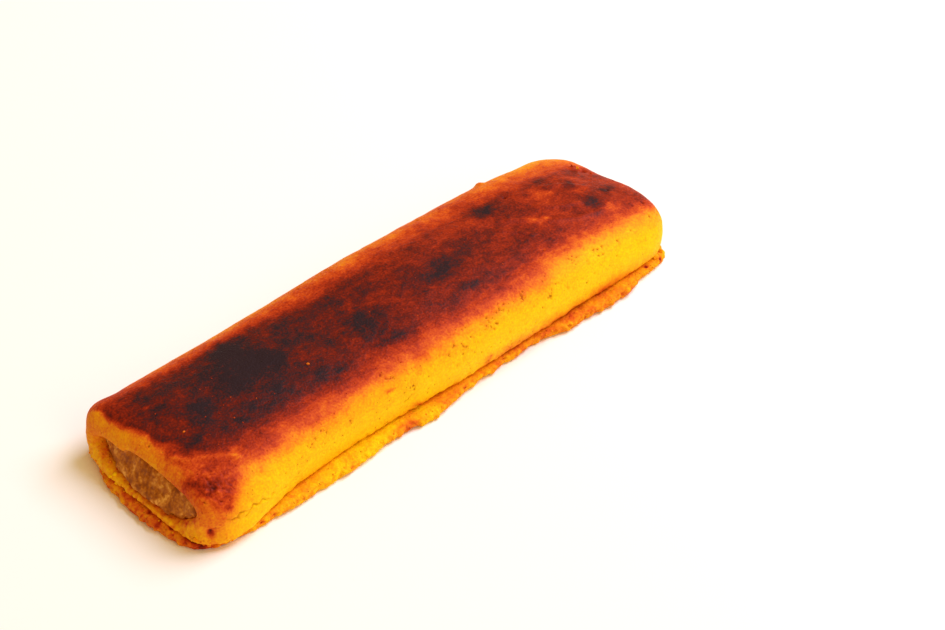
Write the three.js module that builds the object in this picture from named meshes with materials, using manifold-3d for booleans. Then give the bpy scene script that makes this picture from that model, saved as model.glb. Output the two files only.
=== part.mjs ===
// Sweet pastry roll: a flat shortcrust bar of two baked dough sheets around a fruit filling.
// The base sheet lies flat. The cover sheet is draped over the filling, comes down to the base all
// round, and has burst open in a slit across the front end, where the filling shows.
// Millimetres. +X runs from the burst front end to the rear end, the long side with the wide
// ledge of base dough faces -Y, and +Z is up. The roll stands centred on the origin.

import * as THREE from 'three';
import { mergeVertices } from 'three/addons/utils/BufferGeometryUtils.js';
import Module from 'manifold-3d';

// Driving dimensions
const LENGTH = 156.2; // cover, corner to corner, before its ends bulge
const WIDTH = 46.8; // cover, at the foot of its long walls
const HEIGHT = 17.4; // from the table to the crown
const BASE_THICK = 2.4; // base dough sheet
const GAP = 0.3; // air between touching pieces
const WALL = 3.6; // cover dough in the walls
const ROOF = 3.4; // cover dough over the filling
const FRONT_CORNER = 4.5; // plan corners of the cover
const REAR_CORNER = 7.5;
const BASE_CORNER_SHARE = 0.55; // the base sheet's corners are that much sharper
const SHOULDER_ACROSS = 8.5; // wall-to-top rounding, measured inwards
const SHOULDER_DOWN = 7.5; // the same rounding, measured down
const END_SHOULDER = 5; // the tighter rounding at the two ends, measured inwards
const INNER_SHOULDER_LESS = 3; // the rounding of the filling is smaller by this
const RIM_ROUND = 1.1; // rounded lower edge of the cover
// The outer wall from the foot up: share of its height, of the rim rounding and of the bulge
const WALL_PROFILE = [[0, 1, 0], [0.09, 0.3, 0], [0.3, 0, 0.35], [0.65, 0, 1]];
const SHOULDER_BULGE_SHARE = 0.7; // of the bulge, at the start of the shoulder

// Slumping and swelling of the baked dough
const WALL_BULGE = 0.9; // walls swell over the seam
const CROWN = 1.0; // rise of the top from shoulder to middle
const HUMP = 1.6; // extra rise over the fullest part of the filling
const HUMP_AT = 8; // its place along X
const HUMP_SPREAD = 30;
const FRONT_DROOP = 1.2; // top sinks towards the front end
const REAR_DROOP = 1.2; // and towards the rear end
const DROOP_REACH = 26;
const FAR_REAR_DROOP = 2.4; // extra at the rear corner of the +Y side
const FAR_FRONT_RISE = 0.9; // the front corner of that side stands up instead
const FRONT_BULGE = 4.3; // foot of the front end, pushed out where it burst
const FRONT_BULGE_FADE = 2.2; // how fast that dies out on the way up
const REAR_BULGE = 3.0; // rear end bows out too
const REAR_BULGE_GAIN = 0.5; // and half as much again at its top
const FAR_PINCH = 1.8; // foot of the far front corner is drawn in
const END_REACH = 30; // length over which an end bulge dies out
const FRONT_FLARE = 2.0; // long wall swings out beside the front corner
const FRONT_FLARE_AT = -66;
const FRONT_FLARE_SPREAD = 10;
const WAIST = 1.4; // long wall draws in behind that corner
const WAIST_AT = -32;
const WAIST_SPREAD = 22;
const RIPPLE = 0.3; // slow unevenness of the top, as waves along and across
const RIPPLE_ALONG = 56;
const RIPPLE_ALONG_PHASE = 0.6;
const RIPPLE_ACROSS = 70;
const RIPPLE_ACROSS_PHASE = -0.4;

// Base sheet: how far it shows past the foot of the cover
const LEDGE = 1.5; // on average, along the two long sides
const LEDGE_WAVE = 2.0; // wide and narrow stretches on the -Y side
const LEDGE_PERIOD = 86;
const LEDGE_WIDEST_AT = -29;
const LEDGE_FADE = 16; // the long ledges die out over this towards the corners
const FRONT_LEDGE = 1.0; // past the front end
const REAR_LEDGE = 0.2; // past the rear end
const EDGE_CRUMBLE = 0.3; // short bites in the edge
const CRUMBLE_PERIODS = [15, 23];
const BASE_PROFILE = [[0, 0.8], [0.4, 0], [0.75, 0.1], [1, 0.7]]; // share of its height, inset

// Burst slit across the front end
const SLIT_LEFT = 20.8; // far tip, along +Y
const SLIT_RIGHT = -21.0; // near tip, along -Y
const SLIT_LEFT_Z = 8.4;
const SLIT_RIGHT_Z = 9.3;
const SLIT_OPEN_UP = 2.4; // rise of the upper lip over the line between the tips
const SLIT_OPEN_DOWN = 4.6; // sag of the lower lip under it
const SLIT_FULLNESS = 0.62; // below 1 the lens is blunt
const SLIT_SKEW = 1.25; // above 1 it gapes widest towards its near tip
const SLIT_DEPTH = 14; // how far the cut for the slit reaches, from outside the front end
const SLIT_START = 2; // how far outside it starts
const SLIT_SKIN = 1.2; // filling in the slit stands this far behind the outer face

// How finely the rounded forms are divided
const SIDE_STEPS = 28;
const END_STEPS = 10;
const CORNER_STEPS = 4;
const SHOULDER_STEPS = 5;
const ROOF_STEPS = 5;
const LENS_STEPS = 14;
const SPINE_CLEAR = 4.5; // from the last ring of a roof to its spine

const SEAM_Z = BASE_THICK + GAP;

const wasm = await Module();
wasm.setup();

// ---- small helpers ----

const bell = (distance, spread) => Math.exp(-((distance / spread) ** 2));
const lerp = THREE.MathUtils.lerp;
const smooth = (value) => THREE.MathUtils.smoothstep(value, 0, 1);
const phase = (distance, period) => (2 * Math.PI * distance) / period;

// A closed geometry as a solid that can be cut and joined, and back again.
function toSolid(geometry) {
  const bare = geometry.clone();
  bare.deleteAttribute('normal');
  bare.deleteAttribute('uv');
  const merged = mergeVertices(bare, 1e-4);
  const vertProperties = new Float32Array(merged.attributes.position.array);
  const triVerts = new Uint32Array(merged.index.array);
  return new wasm.Manifold(new wasm.Mesh({ numProp: 3, vertProperties, triVerts }));
}

function toGeometry(solid) {
  const mesh = solid.getMesh();
  const geometry = new THREE.BufferGeometry();
  geometry.setAttribute('position', new THREE.BufferAttribute(mesh.vertProperties, 3));
  geometry.setIndex(new THREE.BufferAttribute(mesh.triVerts, 1));
  geometry.computeVertexNormals();
  return geometry;
}

// ---- the stations of a rounded oblong, counterclockwise from the middle of the rear end ----
// Each station is a place on the straight core (alongX, alongY from -1 to 1) and an outward angle.

function straight(steps, from, to, angle) {
  const run = [];
  for (let i = 0; i < steps; i += 1) {
    const t = i / steps;
    run.push({ alongX: lerp(from[0], to[0], t), alongY: lerp(from[1], to[1], t), angle });
  }
  return run;
}

function corner(alongX, alongY, startAngle) {
  const run = [];
  for (let i = 0; i < CORNER_STEPS; i += 1) {
    run.push({ alongX, alongY, angle: startAngle + ((i / CORNER_STEPS) * Math.PI) / 2 });
  }
  return run;
}

function oblongStations() {
  const quarter = Math.PI / 2;
  return [
    ...straight(END_STEPS / 2, [1, 0], [1, 1], 0),
    ...corner(1, 1, 0),
    ...straight(SIDE_STEPS, [1, 1], [-1, 1], quarter),
    ...corner(-1, 1, quarter),
    ...straight(END_STEPS, [-1, 1], [-1, -1], 2 * quarter),
    ...corner(-1, -1, 2 * quarter),
    ...straight(SIDE_STEPS, [-1, -1], [1, -1], 3 * quarter),
    ...corner(1, -1, 3 * quarter),
    ...straight(END_STEPS / 2, [1, -1], [1, 0], 0),
  ];
}

const STATIONS = oblongStations();

const shoulderPart = (inset) => THREE.MathUtils.clamp(inset, 0, SHOULDER_ACROSS);

// One closed outline at a height: the plan of size (halfLength, halfWidth) drawn in by an inset.
function ring(plan, level) {
  const shrink = 1 - level.inset / plan.halfWidth;
  const endInset = level.inset - (1 - END_SHOULDER / SHOULDER_ACROSS) * shoulderPart(level.inset);
  return STATIONS.map((station) => {
    const share = (station.alongX + 1) / 2;
    const radius = shrink * plan.cornerShare * lerp(FRONT_CORNER, REAR_CORNER, share);
    const coreX = plan.halfLength - endInset - radius;
    const coreY = plan.halfWidth - level.inset - radius;
    const out = radius + (plan.ledge ? plan.ledge(station, coreX) : 0);
    return new THREE.Vector3(
      station.alongX * coreX + Math.cos(station.angle) * out,
      station.alongY * coreY + Math.sin(station.angle) * out,
      level.z,
    );
  });
}

// A closed body from a stack of rings. Each of its two ends is closed on a spine along X.
function loft(plan, levels, shape) {
  const count = STATIONS.length;
  const points = levels.flatMap((level) => ring(plan, level));
  const index = [];
  for (let row = 0; row < levels.length - 1; row += 1) {
    for (let i = 0; i < count; i += 1) {
      const a = row * count + i;
      const b = row * count + ((i + 1) % count);
      index.push(a, b, b + count, a, b + count, a + count);
    }
  }
  closeOnSpine(points, index, 0, -1);
  closeOnSpine(points, index, (levels.length - 1) * count, 1);
  points.forEach(shape);
  const geometry = new THREE.BufferGeometry();
  geometry.setFromPoints(points);
  geometry.setIndex(index);
  return geometry;
}

// Closes the ring that starts at index first, facing up (side 1) or down (side -1). The spine has
// a point beside each pair of opposite stations on the long sides, and a fan of faces at each end.
function closeOnSpine(points, index, first, side) {
  const count = STATIONS.length;
  const start = END_STEPS / 2 + CORNER_STEPS;
  const spineStart = points.length;
  const face = (a, b, c) => index.push(...(side > 0 ? [a, b, c] : [a, c, b]));
  const at = (i) => first + ((i + count) % count);
  for (let i = 0; i <= SIDE_STEPS; i += 1) {
    const beside = points[at(start + i)];
    points.push(new THREE.Vector3(beside.x, 0, beside.z));
  }
  for (let i = 0; i < SIDE_STEPS; i += 1) {
    const spine = spineStart + i;
    const far = start + i;
    const near = count - start - i;
    face(at(far), at(far + 1), spine);
    face(at(far + 1), spine + 1, spine);
    face(at(near), spine, spine + 1);
    face(at(near), spine + 1, at(near - 1));
  }
  const spineEnd = spineStart + SIDE_STEPS;
  for (let i = 0; i < 2 * start; i += 1) {
    face(at(i - start), at(i - start + 1), spineStart);
    face(at(start + SIDE_STEPS + i), at(start + SIDE_STEPS + i + 1), spineEnd);
  }
}

// ---- the slumped form that cover, hollow and filling share ----
// X runs along the roll and across is 1 at the foot of the +Y wall and -1 at the -Y wall.

function endReach(x, towards) {
  return smooth((x * towards - (LENGTH / 2 - END_REACH)) / END_REACH);
}

function topSink(x, y) {
  const front = smooth((-x - (LENGTH / 2 - DROOP_REACH)) / DROOP_REACH);
  const rear = smooth((x - (LENGTH / 2 - DROOP_REACH)) / DROOP_REACH);
  const farSide = smooth(y / WIDTH + 0.5);
  const corners = farSide * (FAR_REAR_DROOP * rear - FAR_FRONT_RISE * front);
  return FRONT_DROOP * front ** 2 + REAR_DROOP * rear ** 2 + corners;
}

function topRise(x, y) {
  const hump = HUMP * bell(x - HUMP_AT, HUMP_SPREAD);
  const alongWave = Math.sin(phase(x, RIPPLE_ALONG) + RIPPLE_ALONG_PHASE);
  const acrossWave = Math.cos(phase(y, RIPPLE_ACROSS) + RIPPLE_ACROSS_PHASE);
  return hump + RIPPLE * alongWave * acrossWave - topSink(x, y);
}

function wallSwing(x) {
  const flare = FRONT_FLARE * bell(x - FRONT_FLARE_AT, FRONT_FLARE_SPREAD);
  const waist = WAIST * bell(x - WAIST_AT, WAIST_SPREAD);
  return waist - flare;
}

function farPinch(x, across) {
  return FAR_PINCH * Math.max(across, 0) * endReach(x, -1);
}

// Moves a point in plan. Lift is its height, from 0 at the seam to 1 at the crown.
function spread(point, lift) {
  const across = point.y / (WIDTH / 2);
  const belly = 1 - Math.min(Math.abs(across) ** 3, 1);
  const { x } = point;
  point.x -= FRONT_BULGE * belly * endReach(x, -1) * (1 - lift) ** FRONT_BULGE_FADE;
  point.x += REAR_BULGE * belly * endReach(x, 1) * (1 + REAR_BULGE_GAIN * lift);
  point.y += wallSwing(x) * Math.max(-across, 0) * (1 - lift / 2);
  point.y -= farPinch(x, across) * (1 - lift);
}

function slump(point) {
  const lift = THREE.MathUtils.clamp((point.z - SEAM_Z) / (HEIGHT - SEAM_Z), 0, 1);
  point.z += lift * topRise(point.x, point.y);
  spread(point, lift);
}

// ---- profiles: inset and height, from the underside up the wall, over the shoulder, to the top ----

function outerWallLevels(shoulderStart) {
  return WALL_PROFILE.map(([rise, rim, swell]) => ({
    inset: RIM_ROUND * rim - WALL_BULGE * swell,
    z: lerp(SEAM_Z, shoulderStart, rise),
  }));
}

function innerWallLevels(shoulderStart) {
  return [0, 1 / 3, 2 / 3].map((t) => ({ inset: 0, z: lerp(SEAM_Z, shoulderStart, t) }));
}

function shoulderLevels(start, top, across, bulge) {
  const levels = [];
  for (let i = 0; i <= SHOULDER_STEPS; i += 1) {
    const turn = ((i / SHOULDER_STEPS) * Math.PI) / 2;
    const inset = across - (across + SHOULDER_BULGE_SHARE * bulge) * Math.cos(turn);
    levels.push({ inset, z: lerp(start, top, Math.sin(turn)) });
  }
  return levels;
}

function roofLevels(across, halfWidth, top, crown) {
  const levels = [];
  const last = halfWidth - SPINE_CLEAR;
  for (let i = 1; i <= ROOF_STEPS; i += 1) {
    const t = i / ROOF_STEPS;
    levels.push({ inset: lerp(across, last, t), z: top + crown * (1 - (1 - t) ** 2) });
  }
  return levels;
}

// ---- cover ----

function coverOuter() {
  const plan = { halfLength: LENGTH / 2, halfWidth: WIDTH / 2, cornerShare: 1 };
  const shoulderTop = HEIGHT - CROWN;
  const shoulderStart = shoulderTop - SHOULDER_DOWN;
  const levels = [
    ...outerWallLevels(shoulderStart),
    ...shoulderLevels(shoulderStart, shoulderTop, SHOULDER_ACROSS, WALL_BULGE),
    ...roofLevels(SHOULDER_ACROSS, plan.halfWidth, shoulderTop, CROWN),
  ];
  return toSolid(loft(plan, levels, slump));
}

// The space under the cover: the cover's outer form drawn in by a wall and a roof of dough.
// It reaches down to the cover's foot, or on below it where it is to cut right through.
function innerSpace(wall, roof, below) {
  const plan = {
    halfLength: LENGTH / 2 - wall,
    halfWidth: WIDTH / 2 - wall,
    cornerShare: 1,
  };
  const across = SHOULDER_ACROSS - INNER_SHOULDER_LESS;
  const shoulderTop = HEIGHT - CROWN - roof;
  const shoulderStart = shoulderTop - (SHOULDER_DOWN - INNER_SHOULDER_LESS);
  const levels = [
    ...(below > 0 ? [{ inset: 0, z: SEAM_Z - below }] : []),
    ...innerWallLevels(shoulderStart),
    ...shoulderLevels(shoulderStart, shoulderTop, across, 0),
    ...roofLevels(across, plan.halfWidth, shoulderTop, CROWN),
  ];
  return toSolid(loft(plan, levels, slump));
}

// Lens between the two lips, drawn in by a clearance. Y runs to the left of one facing it, Z up.
function lensShape(clearance) {
  const shape = new THREE.Shape();
  const edge = (t, opening) => {
    const y = lerp(SLIT_LEFT - 2 * clearance, SLIT_RIGHT + 2 * clearance, t);
    const gape = Math.sin(Math.PI * t ** SLIT_SKEW) ** SLIT_FULLNESS;
    return [y, lerp(SLIT_LEFT_Z, SLIT_RIGHT_Z, t) + opening * gape];
  };
  shape.moveTo(...edge(0, 0));
  for (let i = 1; i <= LENS_STEPS; i += 1) {
    shape.lineTo(...edge(i / LENS_STEPS, i === LENS_STEPS ? 0 : SLIT_OPEN_UP - clearance));
  }
  for (let i = LENS_STEPS - 1; i > 0; i -= 1) {
    shape.lineTo(...edge(i / LENS_STEPS, clearance - SLIT_OPEN_DOWN));
  }
  shape.closePath();
  return shape;
}

function slitBody(clearance) {
  const options = { depth: SLIT_DEPTH, bevelEnabled: false };
  const geometry = new THREE.ExtrudeGeometry(lensShape(clearance), options);
  // Drawn in X and Y and extruded along Z, it is turned so that it stands and runs along X.
  geometry.rotateX(Math.PI / 2);
  geometry.rotateZ(Math.PI / 2);
  geometry.translate(-LENGTH / 2 - FRONT_BULGE - SLIT_START, 0, 0);
  return toSolid(geometry);
}

function coverGeometry() {
  const hollow = innerSpace(WALL, ROOF, BASE_THICK);
  return toGeometry(coverOuter().subtract(hollow).subtract(slitBody(0)));
}

// ---- filling ----

// The slab under the cover, with the tongue of filling that fills the slit.
function fillingGeometry() {
  const slab = innerSpace(WALL + GAP, ROOF + GAP, 0);
  const tongue = innerSpace(SLIT_SKIN, ROOF + GAP, 0).intersect(slitBody(GAP));
  return toGeometry(slab.add(tongue));
}

// ---- base sheet ----

function ledge(station, coreX) {
  const x = station.alongX * coreX;
  const nearSide = Math.max(-Math.sin(station.angle), 0);
  const wave = LEDGE_WAVE * Math.cos(phase(x - LEDGE_WIDEST_AT, LEDGE_PERIOD));
  const fade = 1 - bell(Math.abs(x) - LENGTH / 2, LEDGE_FADE);
  const bites = CRUMBLE_PERIODS.map((period) => Math.sin(phase(x, period) + station.angle));
  const endLedge = lerp(FRONT_LEDGE, REAR_LEDGE, (station.alongX + 1) / 2);
  const shown = lerp(endLedge, LEDGE + nearSide * wave, fade);
  return shown + EDGE_CRUMBLE * (bites[0] + bites[1]);
}

function baseGeometry() {
  const plan = {
    halfLength: LENGTH / 2,
    halfWidth: WIDTH / 2,
    cornerShare: BASE_CORNER_SHARE,
    ledge,
  };
  const levels = BASE_PROFILE.map(([rise, inset]) => ({ inset, z: BASE_THICK * rise }));
  return toGeometry(toSolid(loft(plan, levels, (point) => spread(point, 0))));
}

// ---- materials ----

const bakedDough = new THREE.MeshStandardMaterial({ color: 0xb5501c, roughness: 0.55, metalness: 0 });
const paleDough = new THREE.MeshStandardMaterial({ color: 0xe8a42a, roughness: 0.75, metalness: 0 });
const fruitPaste = new THREE.MeshStandardMaterial({ color: 0x9a5a1e, roughness: 0.4, metalness: 0 });

// ---- the roll ----

function piece(name, geometry, material) {
  const mesh = new THREE.Mesh(geometry, material);
  mesh.name = name;
  return mesh;
}

const roll = new THREE.Group();
roll.add(
  piece('cover', coverGeometry(), bakedDough),
  piece('filling', fillingGeometry(), fruitPaste),
  piece('base', baseGeometry(), paleDough),
);

// The uneven ledge shifts the outline, so the whole roll is set back over the origin.
const box = new THREE.Box3().setFromObject(roll);
const middle = box.getCenter(new THREE.Vector3());
roll.children.forEach((child) => child.geometry.translate(-middle.x, -middle.y, -box.min.z));

export default roll;
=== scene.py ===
import math

import bpy
import numpy as np
from mathutils import Matrix, Vector, noise


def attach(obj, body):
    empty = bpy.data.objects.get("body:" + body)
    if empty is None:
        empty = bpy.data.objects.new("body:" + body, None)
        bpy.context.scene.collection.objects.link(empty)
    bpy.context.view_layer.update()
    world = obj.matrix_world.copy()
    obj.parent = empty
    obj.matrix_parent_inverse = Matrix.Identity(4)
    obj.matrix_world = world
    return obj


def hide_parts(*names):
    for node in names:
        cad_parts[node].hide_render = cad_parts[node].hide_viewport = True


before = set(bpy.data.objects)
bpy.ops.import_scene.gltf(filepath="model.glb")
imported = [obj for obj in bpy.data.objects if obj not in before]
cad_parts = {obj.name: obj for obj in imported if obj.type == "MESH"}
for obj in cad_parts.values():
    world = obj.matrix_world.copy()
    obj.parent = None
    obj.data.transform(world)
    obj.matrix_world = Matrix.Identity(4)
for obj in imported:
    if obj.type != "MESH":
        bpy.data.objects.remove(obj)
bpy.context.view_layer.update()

MM = 0.001
AXIS_Z = 4.0  # height of the line round which girth is measured

# ---- how finely each piece is meshed ----

# Size of the even mesh over each CAD form, and the rounds of smoothing that melt its facets together
COVER_VOXEL, COVER_ROUNDS = 1.07, 9
BASE_VOXEL, BASE_ROUNDS = 0.7, 4
FILLING_VOXEL, FILLING_ROUNDS = 0.8, 4
FRONT_X = -76.5  # in front of this the cover gets a finer mesh, for the torn lips
SEAM_TOP = 3.9  # and under this, for the ragged foot along the seam
HOLLOW_END, HOLLOW_FRONT = 66, -70  # the X from which the cover's lining curves, and where it starts
BASE_HIDDEN = (74, 19)  # half length and half width of the base's middle, which is covered or flat
BASE_EDGE = (76, 21)  # outside this box the base gets a finer mesh
FILLING_HIDDEN, FILLING_SHOWN = -66, -74  # X behind which and in front of which the same holds
HIDDEN_SHARE = 0.12  # share of the faces kept where little or nothing shows

# ---- browning: 0 is pale dough, 1 is charred. Each list is read by straight interpolation ----

# Along X, the most that the top is browned
TOP_BAKE = [(-76, 0.86), (-66, 0.9), (-46, 0.95), (-30, 0.89), (-14, 0.88), (0, 0.85),
            (18, 0.84), (34, 0.82), (50, 0.79), (66, 0.77), (80, 0.73)]
# The girth at which the near wall turns red, along X, and the browning by degrees past that girth
NEAR_EDGE = [(-80, 4), (-75, 10), (-73, 17), (-71, 21), (-69.5, 25), (-67, 30), (-64, 36), (-60, 34),
             (-48, 34), (-30, 35), (0, 36), (30, 37.5), (50, 43), (64, 40), (80, 33)]
NEAR_PROFILE = [(-26, 0.08), (-18, 0.15), (-12, 0.25), (-7, 0.39), (-2, 0.57), (4, 0.7),
                (10, 0.8), (18, 0.93), (26, 1.0)]
# The same for the far wall, where the browning ends more sharply towards the front
FAR_EDGE = [(-80, 158), (-72, 156), (-64, 150), (-48, 148), (-32, 147), (-16, 142), (10, 138),
            (32, 143), (50, 143), (64, 138)]
FAR_STEEPNESS = [(-66, 1.9), (-48, 2.0), (-28, 1.7), (-16, 1.0)]
FAR_PROFILE = [(-34, 0.12), (-22, 0.26), (-12, 0.42), (-6, 0.52), (0, 0.6), (6, 0.7), (12, 0.82),
               (20, 0.95)]
# By girth, the X at which the front face's amber turns red and the X at which red turns dark, and
# the browning by the share of the way from the one to the other
FRONT_RED = [(0, -74), (15, -73.8), (20, -75.3), (27, -76.4), (32, -76), (46, -75), (69, -74.2),
             (90, -73.9), (105, -74), (130, -75), (160, -76.6)]
FRONT_DARK = [(25, -58), (40, -61.4), (48, -66.6), (60, -69.1), (78, -69.6), (87, -72), (105, -72.9),
              (117, -73.1), (130, -74.1), (143, -75.1), (160, -76)]
FRONT_PROFILE = [(-0.6, 0.36), (0, 0.45), (0.2, 0.6), (0.8, 0.73), (1.05, 0.86), (1.4, 1.0)]
# Along X, the browning of the near wall's foot, up to this girth
FOOT_BAKE = [(-80, 0.4), (-74, 0.3), (-68, 0.12), (-30, 0.14), (6, 0.14), (16, 0.36), (56, 0.42),
             (68, 0.2), (82, 0.1)]
FOOT_GIRTH = 9
# How far the borders of all this wander: layers of noise with size in mm, reach and seed. The reach
# is in mm along X and in degrees of girth.
DRIFT_X = [(9, 1.1, 21), (3, 0.6, 22)]
DRIFT_GIRTH = [(7, 2.4, 23), (2.4, 1.5, 24)]
REAR_FACE = (79, 82)  # the X where the rear face starts and where it is full
REAR_FACE_BAKE = 0.24

# Scorched patches: X, girth, half length in mm, half girth in degrees, how much darker
SCORCHES = [
    (-40, 108, 8, 24, 0.14), (-43, 133, 4, 8, 0.1), (-57, 94, 6, 12, 0.07), (-12, 84, 4, 11, 0.11),
    (-10, 112, 9, 13, 0.05), (13, 79, 5, 9, 0.16), (41, 125, 3.5, 6, 0.24), (-45, 61, 9, 6, 0.05),
    (-29, 54, 5, 4, 0.06), (-66, 63, 3, 4, 0.1), (20, 93, 7, 10, 0.05), (36, 62, 6, 6, 0.06),
    (61, 132, 3, 6, 0.1), (17, 54, 4, 3, 0.1), (-11, 49, 3, 2, 0.14), (-4.7, 47, 1.4, 1.4, 0.12),
    (73.5, 69, 3, 9, 0.2), (65.6, 62, 2.6, 8, 0.19), (65.9, 103, 2, 6, 0.16), (48, 47, 2.5, 5, 0.14),
    (-78.4, 9, 1.5, 3, 0.1), (10.8, 5, 1.3, 2.5, 0.36), (-21.5, 23, 1.3, 1.4, 0.26),
    (-12.4, 0, 2.2, 3, 0.45),
]
SCORCH_RAGGED = (1.6, 4)  # how far their edges stray, in mm along X and in degrees
# Red patches round the blistered corner: X, girth, half length, half girth, browning
CORNER_REDS = [
    (-71.6, 30, 4.2, 9, 0.64), (-72.4, 30, 2.2, 5, 0.8), (-69.1, 39, 2.0, 3, 0.74),
    (-72.2, 21, 1.8, 4, 0.7), (-74.4, 34, 1.4, 4.5, 0.78), (-70.2, 25, 1.3, 2.2, 0.74),
]
CORNER_RAGGED = (0.8, 2.5)
# Paler places on the brown top: X, girth, half length, half girth, how much paler
PALE_PATCHES = [
    (57, 108, 3, 10, 0.16), (48, 79, 1.6, 12, 0.14), (67.5, 48, 2.4, 4, 0.2), (-11, 106, 0.8, 5, 0.14),
    (-68, 128, 1.5, 3, 0.2), (26, 118, 10, 14, 0.05), (-56, 108, 4, 7, 0.05), (-30, 78, 6, 8, 0.04),
    (66.7, 86, 2, 6, 0.1), (-63.5, 39.5, 1.8, 2.4, 0.2),
]
# Paler lines where the crust creased: runs of (X, girth), width in mm, how much paler
PALE_LINES = [
    ([(-73.7, 64), (-72.3, 52), (-69.6, 48), (-67.4, 43), (-65.2, 41), (-62.9, 36)], 0.5, 0.16),
    ([(53.5, 44), (55, 36)], 0.4, 0.1),
    ([(47, 83), (49, 80), (51, 74)], 0.8, 0.16),
    ([(53, 96), (56, 82), (62, 70)], 0.5, 0.08),
]
LINE_FADE = (1.8, 26, 0.7, 0.9)  # how they come and go: size in mm, seed, mean and swing

# ---- small features of the cover ----

# Pores that stand out: X, girth, radius
PORES = [
    (-33.7, 19, 0.29), (-36.7, 13, 0.29), (-18.7, 28, 0.29), (-14.2, 17, 0.33), (33.1, 20, 0.45),
    (24.8, 28, 0.33), (17.1, 30, 0.29), (14.5, 24, 0.41), (13.2, 22, 0.29), (0.3, 26, 0.33),
    (-2, 23, 0.25), (36, 25, 0.25), (46, 14, 0.29), (58, 19, 0.29), (52, 30, 0.25), (76.9, 38, 0.41),
    (73.1, 40, 0.33), (74.5, 28, 0.33), (49.5, 128, 0.41), (-25, 8, 0.29), (-47, 20, 0.25),
    (-55, 14, 0.25), (-10, 6, 0.25), (8, 12, 0.25), (27, 9, 0.29), (-12.4, -1, 0.49), (73, 67, 0.33),
    (40.5, 47, 0.29), (-74.9, 98, 0.25),
]
# Where they crowd together: X, girth, half length in mm, half girth in degrees, how many
PORE_CLUSTERS = [
    (17.5, 29, 1.1, 1.5, 10), (12.2, 24.5, 1.2, 1.8, 10), (25.3, 29.5, 1.0, 1.8, 9),
    (2, 23, 1.6, 1.4, 8), (-14.8, 17, 1.3, 1.3, 5), (-19.2, 29, 1.0, 1.0, 4), (33, 21, 1.2, 1.8, 6),
    (45, 34, 1.8, 1.8, 6), (54, 28, 2.6, 2.6, 7), (-43, 22, 2.4, 2.4, 6),
]
RANDOM_PORES = 340  # small ones, scattered over both long walls
PORE_X = (-68, 25, 76)  # their least, most usual and greatest X
WALL_GIRTHS = (0, 34)  # range of their girth on the near wall; the far wall is its mirror image
SMALL_PORES = (0.11, 0.24)  # range of their radius
CROWDED_PORES = (0.15, 0.31)
PORE_RAGGED = (0.6, 0.26, 1.0)  # noise on their rims: size and reach in mm, and reach in degrees
PORE_DEPTH = 1.2  # share of the radius
PORE_SHADE = 0.7  # how much a pore lies in its own shadow
PORE_STAIN_AND_SHADE = 0.08  # how far a pore's colour goes from that of the dough round it towards 1: partly browning, partly painted shade in the pore
# The corner beside the slit, where the crust bubbled up and broke: its middle and its reach
BLISTER_X, BLISTER_GIRTH, BLISTER_REACH = -72.9, 28, 3.8
BLISTERS = 12  # those that broke open
BROKEN_BLISTERS = (0.2, 0.34)  # range of their radius
BLISTER_SPREAD = (1.7, 4.0)  # how far they lie from the middle, in mm along X and in degrees
# Holes baked open along the seam and at the corner, in both pieces: X, Y, Z, radius
SEAM_HOLES = [
    (-77, -22.6, 5.6, 0.9), (-78.2, -21.4, 5.3, 0.4), (-78.8, 16.9, 7.6, 0.35), (-77.9, 15.4, 7.2, 0.3),
    (-81, -5, 2.9, 0.6), (-81, -7.4, 3.2, 0.6), (-80.8, -9.2, 2.9, 0.45), (-80.3, -12.3, 2.7, 0.55),
    (-79.6, -16.6, 3.1, 0.45), (-78.6, -18.8, 2.6, 0.5), (-81, -1.8, 3.2, 0.4), (-80.9, 1.5, 3, 0.35),
    (-63.9, -24.8, 1.9, 0.6), (-60.2, -24.5, 2.0, 0.65), (-54.6, -24.4, 2.0, 0.5),
    (69.7, -22.3, 2.5, 0.6), (75.2, -22.3, 1.8, 0.75), (-81.2, 4.6, 2.8, 0.4),
]
HOLE_SHADE = 1.0  # painted shade in the holes: how much darker the dough is painted for each mm of their depth
LIP_STAIN = 0.16  # juice baked on along the lower lip of the slit
LIP_FADE = (1.6, 25, 0.8, 0.8)  # and how it comes and goes: size in mm, seed, mean and swing
LIP_PALE = 0.09  # and how much paler the front of that lip is
# Hairline cracks as runs of (X, girth)
CRACKS = [
    [(-68.5, 6), (-65.8, 10.5), (-63.1, 9), (-60.6, 6), (-59.6, 8)],
    [(-72.6, 10), (-70.4, 7), (-69.4, 10.5), (-67.6, 9)],
    [(-17.5, 9), (-15, 11.5), (-12.8, 14)],
]
CRACK_WAVER = (1.6, 0.8)  # size in mm of their bends, and how far they go
CRACK_FADE = (2.2, 57, 0.7, 1.2)  # how they come and go: size in mm, seed, mean and swing
CRACK_WIDTH = 0.24
CRACK_DEPTH = 0.45
CRACK_SHADE = 0.42  # how much a crack lies in its own shadow
RELIEF_SHADE = 0.65  # painted shade in the hollows: how much darker the dough is painted for each mm that it sinks, and paler for each mm that it stands out
# Folds where the dough wrinkled, over the rear of the filling and beside the slit, as raised runs
# of (X, girth)
FOLDS = [
    [(43, 100), (47, 84), (51, 68), (57, 55), (64, 50)],
    [(53, 96), (56, 82), (62, 70)],
    [(60, 118), (66, 104), (69, 88)],
    [(38, 92), (41, 78), (43, 66)],
    [(-73.7, 64), (-72.3, 52), (-69.6, 48), (-67.4, 43), (-65.2, 41), (-62.9, 36)],
]
FOLD_WIDTH = 0.75
FOLD_HEIGHT = 0.28
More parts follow.
